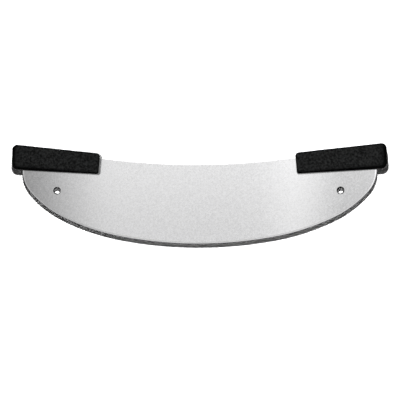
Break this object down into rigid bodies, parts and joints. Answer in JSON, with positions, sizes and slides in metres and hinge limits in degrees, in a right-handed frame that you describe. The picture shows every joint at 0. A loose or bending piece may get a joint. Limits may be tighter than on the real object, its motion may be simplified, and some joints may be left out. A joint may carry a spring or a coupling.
{
  "type": "pizza rocker",
  "caption": "Long curved steel rocking blade with a ground edge, a hollowed spine, a hang hole near each end and a moulded black handle over each end of the spine.",
  "frame": {"origin": "centre of the bounding box in X and Y, on the surface that the two handles lie on", "axes": "+X along the rocker towards its right handle, +Y from the cutting edge towards the spine and handles, +Z square to the blade"},
  "size_m": [0.508, 0.1342, 0.022],
  "materials": {
    "blade_steel": "fine satin grain, brighter on the ground bevel",
    "handle_plastic": "fine leathery moulded grain"
  },
  "bodies": {
    "root": {"blade": "blade_steel", "left_handle": "handle_plastic", "right_handle": "handle_plastic"}
  },
  "joints": []
}
